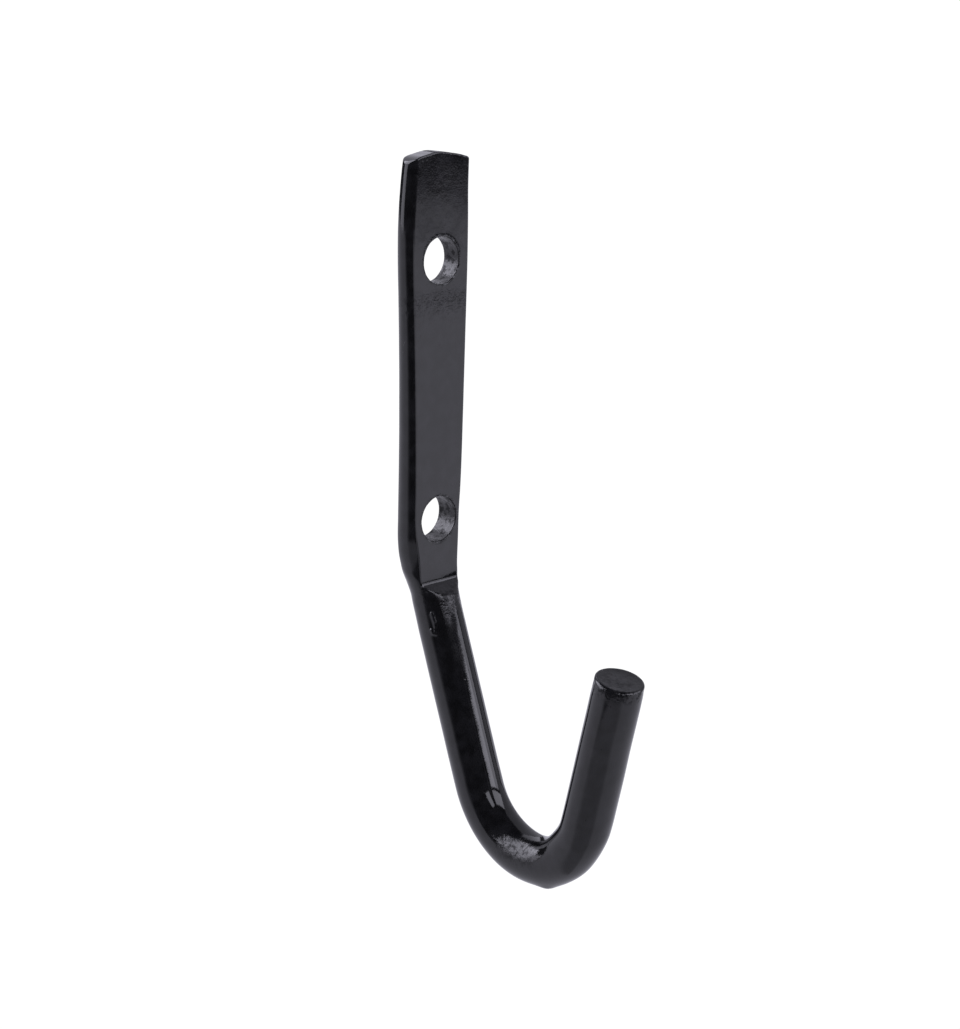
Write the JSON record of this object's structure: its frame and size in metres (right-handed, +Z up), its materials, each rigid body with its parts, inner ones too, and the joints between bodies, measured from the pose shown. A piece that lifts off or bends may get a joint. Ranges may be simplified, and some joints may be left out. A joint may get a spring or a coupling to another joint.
{
  "type": "tack hook",
  "caption": "Forged J-shaped wall hook for a tack room: a flat blade with a line of screw holes above a round-bar shank, bowl and upturned arm, in gloss black paint.",
  "frame": {"origin": "on the blade's flat back face, on the hook's centre line, midway between the two screw holes", "axes": "+Z up along the blade, +Y straight into the wall, so the hook reaches out from the wall to -Y, and +X across the blade"},
  "size_m": [0.016, 0.0597, 0.1427],
  "materials": {
    "black_enamel": "gloss black enamel over forged steel, with a light orange peel, small runs and dust nibs"
  },
  "bodies": {
    "root": {"forged_hook": "black_enamel"}
  },
  "joints": []
}
